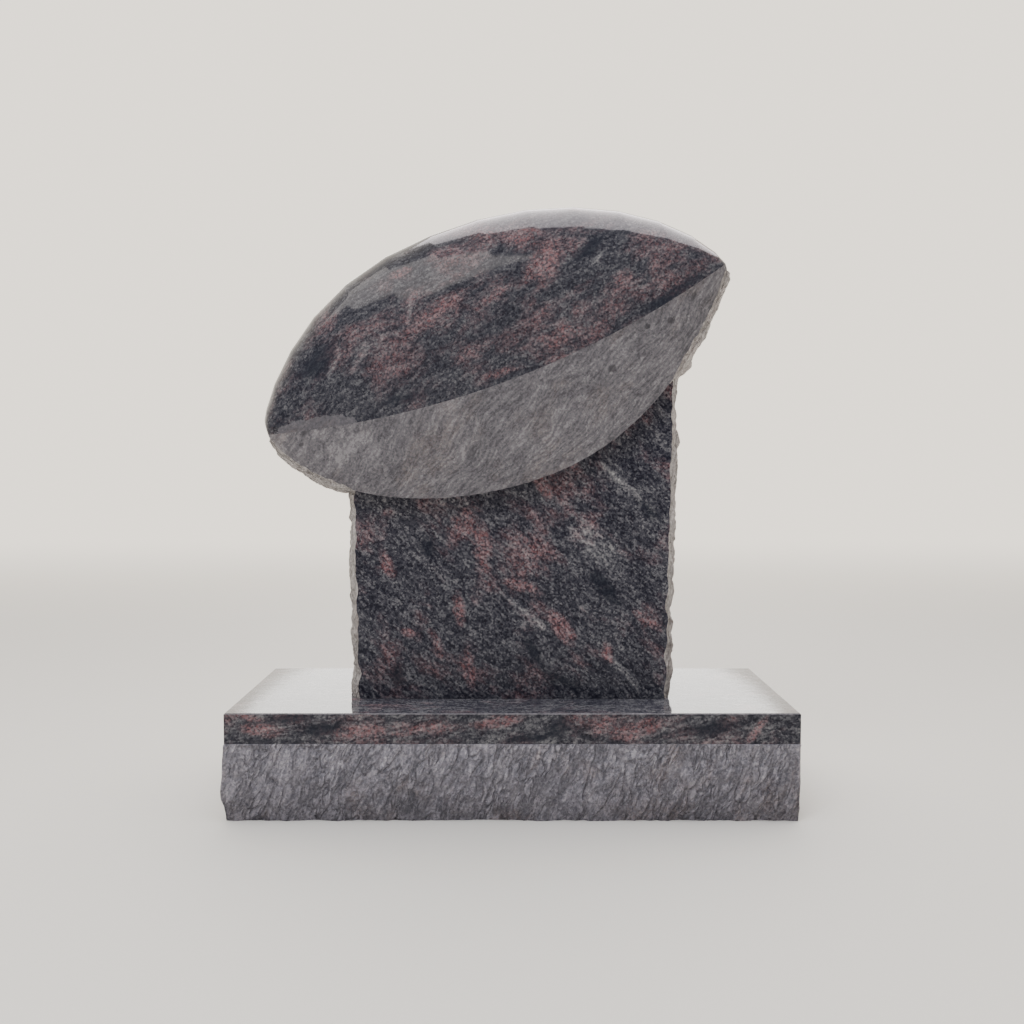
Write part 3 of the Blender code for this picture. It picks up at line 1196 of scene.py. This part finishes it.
@dataclass
class BaseStone(Stone):
    """The base stone: a rock-pitched band under a polished margin and top."""

    node: ClassVar[str] = "base"
    slot: ClassVar[str] = "base_granite"
    chisel: Chisel = Chisel(relief=0.0026, chip_depth=0.0012, bulge_depth=0.0045)
    width: float = 0.762
    depth: float = 0.305
    height: float = 0.144
    margin: float = 0.041
    arris: float = 0.0015
    shoulder: float = 0.0015
    belly: float = 0.0034
    foot: float = -0.0015
    belly_share: float = 0.36
    right_setback: float = 0.0030
    corner_calm: float = 0.040
    step: float = 0.0023
    rows: int = 44
    crisp: float = math.radians(38.0)

    def profile(self, share: float) -> float:
        """How proud the band stands.

        Args:
            share: Share of its height, 0 at the foot.

        Returns:
            The distance out from the polished margin.
        """
        if share < self.belly_share:
            rise = share / self.belly_share
            low = self.foot
        else:
            rise = (1.0 - share) / (1.0 - self.belly_share)
            low = self.shoulder
        return low + (self.belly - low) * math.sin(math.pi / 2 * rise)

    def walk(self) -> list[tuple[float, float, int, int]]:
        """Walk once round the stone in plan.

        Returns:
            Points x, y, each with the direction x, y that leads out of the stone.
        """
        half_x, half_y = self.width / 2, self.depth / 2
        corners = ((-1, -1), (1, -1), (1, 1), (-1, 1))
        walk = []
        for i, (ax, ay) in enumerate(corners):
            bx, by = corners[(i + 1) % 4]
            steps = round((self.width if ay == by else self.depth) / self.step)
            walk.append((ax * half_x, ay * half_y, ax, ay))
            for k in range(1, steps):
                share = k / steps
                x = (ax + (bx - ax) * share) * half_x
                y = (ay + (by - ay) * share) * half_y
                walk.append((x, y, ax if ax == bx else 0, ay if ay == by else 0))
        return walk

    def band_ring(self, share: float, z: float) -> list[Point]:
        """One level ring of the rock-pitched band.

        Args:
            share: Share of the band's height.
            z: The same place as a height.

        Returns:
            The ring's points.
        """
        ring = []
        for x, y, out_x, out_y in self.walk():
            proud = self.profile(share) + self.chisel.relief * self.chisel.lumps(x, y, z)
            from_corner = self.width / 2 - abs(x) + self.depth / 2 - abs(y)
            calm = 0.25 + 0.75 * smoothstep(0.0, self.corner_calm, from_corner)
            proud += self.chisel.chips(x, y, z) * calm
            if out_x > 0:
                proud -= self.right_setback
            if share == 1.0:
                proud = max(proud, self.shoulder / 2)
            ring.append((x + proud * out_x, y + proud * out_y, z))
        return ring

    def build(self) -> bpy.types.Object:
        """Make the stone from the foot of its band up to its polished top.

        Returns:
            The stone as an object.
        """
        band = self.height - self.margin
        rings = [self.band_ring(row / self.rows, row / self.rows * (band - self.shoulder))
                 for row in range(self.rows + 1)]
        for inset, z in ((0.0, band), (0.0, self.height - self.arris), (self.arris, self.height)):
            rings.append([(x - inset * out_x, y - inset * out_y, z)
                          for x, y, out_x, out_y in self.walk()])
        stone = Loft("base_stone", rings, [BaseFace.BAND] * len(rings[0]),
                     (BaseFace.BAND, BaseFace.TOP)).build()
        for face in stone.data.polygons:
            if face.center.z > self.height - self.arris / 4:
                face.material_index = BaseFace.TOP
            elif face.center.z > self.height - self.arris:
                face.material_index = BaseFace.ARRIS
            elif face.center.z > band:
                face.material_index = BaseFace.MARGIN
        keep_inside(stone, self.node)
        soften(stone, self.crisp)
        return stone

    def finishes(self) -> list[Granite]:
        """Finishes of the stone's faces.

        Returns:
            The finishes in the order of BaseFace.
        """
        red = (
            Patch(-0.330, 0.121, 0.055, 0.012, -8.0), Patch(-0.345, 0.138, 0.030, 0.008, -5.0, 0.8),
            Patch(-0.200, 0.120, 0.070, 0.014, 2.0, 0.9), Patch(-0.116, 0.124, 0.090, 0.018, 4.0, 0.7),
            Patch(-0.020, 0.133, 0.055, 0.011, 6.0), Patch(0.118, 0.128, 0.030, 0.012, 55.0),
            Patch(0.165, 0.122, 0.055, 0.018, 15.0), Patch(0.324, 0.123, 0.034, 0.008, 56.0),
        )
        dark = (
            Patch(-0.250, 0.122, 0.042, 0.014, 10.0), Patch(-0.290, 0.137, 0.050, 0.007, 5.0, 0.8),
            Patch(0.062, 0.122, 0.035, 0.016, 15.0, 0.9), Patch(0.265, 0.124, 0.045, 0.016, 10.0, 0.9),
            Patch(0.020, 0.111, 0.050, 0.007, 5.0, 0.8),
        )
        return [
            Granite("band_pitched_granite", Finish.PITCHED, 68.0, shift=(0.4, 0.8, 0.1), foot_shade=0.095,
                    level=1.28, redness=0.03),
            Granite("margin_polished_granite", Finish.POLISHED, 7.0, shift=(0.2, 0.6, 0.5), level=1.65,
                    contrast=0.68, gloss=1.22, redness=0.06, red=red, dark=dark),
            Granite("arris_honed_granite", Finish.HONED, 7.0, shift=(0.2, 0.6, 0.5)),
            # Painted light: the polished top is made much paler than the margin, standing in for the light
            # and reflections that fall on the face that looks up.
            Granite("top_polished_granite", Finish.POLISHED, 7.0, shift=(0.3, 0.1, 0.6), level=2.9,
                    contrast=0.55),
        ]


@dataclass(frozen=True)
class Softbox:
    """A soft panel of light out of the camera's sight.

    Attributes:
        name: Name of the light.
        place: Middle of the panel.
        tip: Angle in degrees that it is tipped from facing the floor towards facing +Y.
        turn: Angle in degrees that it is then turned about the upright.
        size: Its width and length.
        power: Its power in watts.
        mirrored: It shows in the polished faces and lights nothing else.
        colour: Colour of its light.
        shape: Blender's name of its shape.
    """

    name: str
    place: Point
    tip: float
    turn: float
    size: tuple[float, float]
    power: float
    mirrored: bool
    colour: Colour = WHITE
    shape: str = "RECTANGLE"

    def build(self) -> bpy.types.Object:
        """Hang the panel.

        Returns:
            The light.
        """
        light = bpy.data.lights.new(self.name, "AREA")
        light.shape = self.shape
        light.size, light.size_y = self.size
        light.energy = self.power
        light.color = self.colour
        item = add_object(self.name, light)
        item.location = self.place
        item.rotation_euler = (math.radians(self.tip), 0.0, math.radians(self.turn))
        item.visible_camera = False
        item.visible_glossy = self.mirrored
        item.visible_diffuse = not self.mirrored
        return item


@dataclass
class Studio:
    """A pale floor that runs into a pale backdrop, soft light and the photograph's camera."""

    camera_place: Point = (-0.0004, -1.5311, 0.4758)
    camera_pitch: float = 0.0477
    lens: float = 37.13
    floor_size: float = 60.0
    pale: Colour = (0.79, 0.775, 0.75)
    paler: Colour = (0.81, 0.795, 0.77)
    floor_near: float = 0.8
    floor_far: float = 5.0
    backdrop: Colour = (2.00, 1.84, 1.60)
    front: Colour = (0.40, 0.40, 0.42)
    boxes: tuple[Softbox, ...] = (
        Softbox("top_mirror", (0.33, 0.78, 2.30), 0.0, 0.0, (2.34, 2.80), 102.0, True,
                (1.0, 0.92, 0.95), "ELLIPSE"),
        Softbox("left_mirror", (-1.065, -0.923, 2.30), 0.0, -58.6, (2.15, 0.85), 17.0, True,
                (1.0, 0.93, 0.88)),
        Softbox("back_mirror", (0.0, 3.00, 1.15), -90.0, 0.0, (2.5, 1.3), 24.0, True,
                shape="ELLIPSE"),
        Softbox("key", (-0.90, -1.70, 2.50), 41.0, -28.0, (1.3, 1.3), 34.0, False),
        Softbox("overhead", (0.20, -0.30, 3.20), 0.0, 0.0, (2.2, 2.2), 46.0, False),
    )

    def floor(self) -> bpy.types.Object:
        """A plain floor, pale round the stone and lost in the backdrop's light far behind it.

        Returns:
            The floor.
        """
        half = self.floor_size / 2
        mesh = bpy.data.meshes.new("floor")
        mesh.from_pydata([(-half, -half, 0), (half, -half, 0), (half, half, 0), (-half, half, 0)], [],
                         [(0, 1, 2, 3)])
        item = add_object("floor", mesh)
        material = bpy.data.materials.new("pale_floor")
        material.use_nodes = True
        graph = Graph(material.node_tree)
        cloud = graph.noise(graph.here(), 0.30)
        shader = graph.wire(graph.mix(cloud, self.pale, self.paler),
                            graph.span(cloud, 0.2, 0.8, 0.66, 0.74),
                            graph.noise(graph.here(), 0.004), 0.0002)
        glow = graph.node("ShaderNodeEmission", {"Color": (*self.backdrop, 1.0)})
        share = graph.span(graph.along("Y"), self.floor_near, self.floor_far)
        both = graph.node("ShaderNodeMixShader", {0: share, 1: shader.outputs[0], 2: glow.outputs[0]})
        out = material.node_tree.nodes["Material Output"]
        material.node_tree.links.new(both.outputs[0], out.inputs["Surface"])
        mesh.materials.append(material)
        return item

    def world(self) -> None:
        """Pale light from all round, brightest from behind the stone."""
        world = bpy.data.worlds.new("studio")
        world.use_nodes = True
        graph = Graph(world.node_tree)
        way = graph.node("ShaderNodeTexCoord").outputs["Generated"]
        ahead = graph.node("ShaderNodeSeparateXYZ", {0: way}).outputs["Y"]
        back = graph.span(ahead, -0.40, 0.60)
        colour = graph.mix(back, self.front, self.backdrop)
        world.node_tree.links.new(colour, world.node_tree.nodes["Background"].inputs["Color"])
        bpy.context.scene.world = world

    def camera(self) -> bpy.types.Object:
        """The camera, looking along +Y with a slight dip.

        Returns:
            The camera.
        """
        data = bpy.data.cameras.new("camera")
        data.sensor_width = 36.0
        data.lens = self.lens
        item = add_object("camera", data)
        item.location = self.camera_place
        item.rotation_euler = (math.pi / 2 - self.camera_pitch, 0.0, 0.0)
        bpy.context.scene.camera = item
        return item

    def build(self) -> None:
        """Set up floor, light and camera."""
        self.floor()
        self.world()
        for box in self.boxes:
            box.build()
        self.camera()


def main() -> None:
    """Build the stones and the studio, and note the sizes of both models."""
    logging.basicConfig(level=logging.INFO, format="%(name)s %(message)s")
    noise.seed_set(NOISE_SEED)
    for stone in (Headstone(), BaseStone()):
        stone.dress(stone.build())
    Studio().build()


if __name__ == "__main__":
    main()
